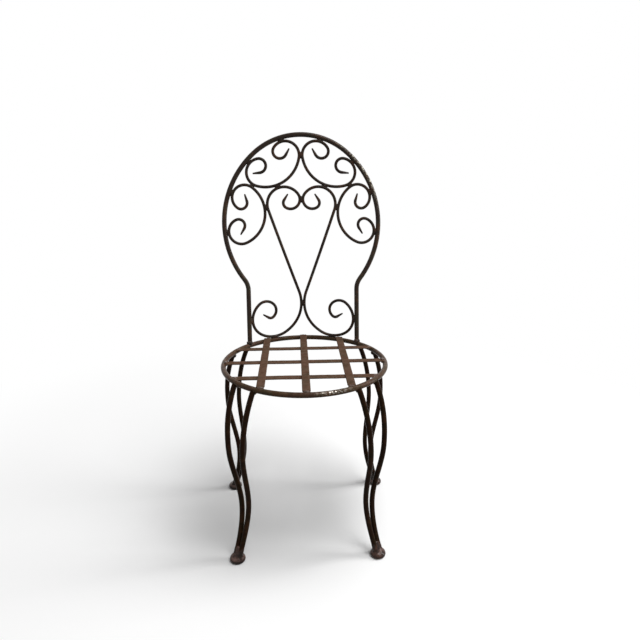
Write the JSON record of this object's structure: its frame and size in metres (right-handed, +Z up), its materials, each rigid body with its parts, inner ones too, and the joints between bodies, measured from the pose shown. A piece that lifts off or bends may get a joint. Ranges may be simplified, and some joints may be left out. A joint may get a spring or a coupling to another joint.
{
  "type": "garden chair",
  "caption": "Wrought iron garden side chair with a round strap seat, scrolled balloon back and S-curved legs.",
  "frame": {"origin": "on the floor, midway between the seat's front edge and the rearmost point of the back, on the centre plane", "axes": "+Z up, +Y towards the back of the chair, +X to the right of someone who faces the chair"},
  "size_m": [0.4536, 0.4502, 1.0026],
  "materials": {
    "frame": "satin dark brown paint",
    "scrolls": "satin dark brown paint",
    "straps": "satin brown paint, worn by sitting",
    "feet": "satin brown paint over a rough casting",
    "welds": "painted weld metal"
  },
  "bodies": {
    "root": {"seat_ring": "frame", "seat_strap_left": "straps", "seat_strap_middle": "straps", "seat_strap_right": "straps", "cross_strap_front": "straps", "cross_strap_middle": "straps", "cross_strap_rear": "straps", "back_hoop": "frame", "crown_scroll_left": "scrolls", "crown_scroll_right": "scrolls", "side_scroll_left": "scrolls", "side_scroll_right": "scrolls", "heart_scroll_left": "scrolls", "heart_scroll_right": "scrolls", "front_left_leg_inner_bar": "frame", "front_left_leg_outer_bar": "frame", "front_right_leg_inner_bar": "frame", "front_right_leg_outer_bar": "frame", "rear_left_leg_inner_bar": "frame", "rear_left_leg_outer_bar": "frame", "rear_right_leg_inner_bar": "frame", "rear_right_leg_outer_bar": "frame", "front_left_foot": "feet", "front_right_foot": "feet", "rear_left_foot": "feet", "rear_right_foot": "feet", "scroll_welds": "welds", "post_welds": "welds", "seat_welds": "welds", "leg_welds": "welds"}
  },
  "joints": []
}
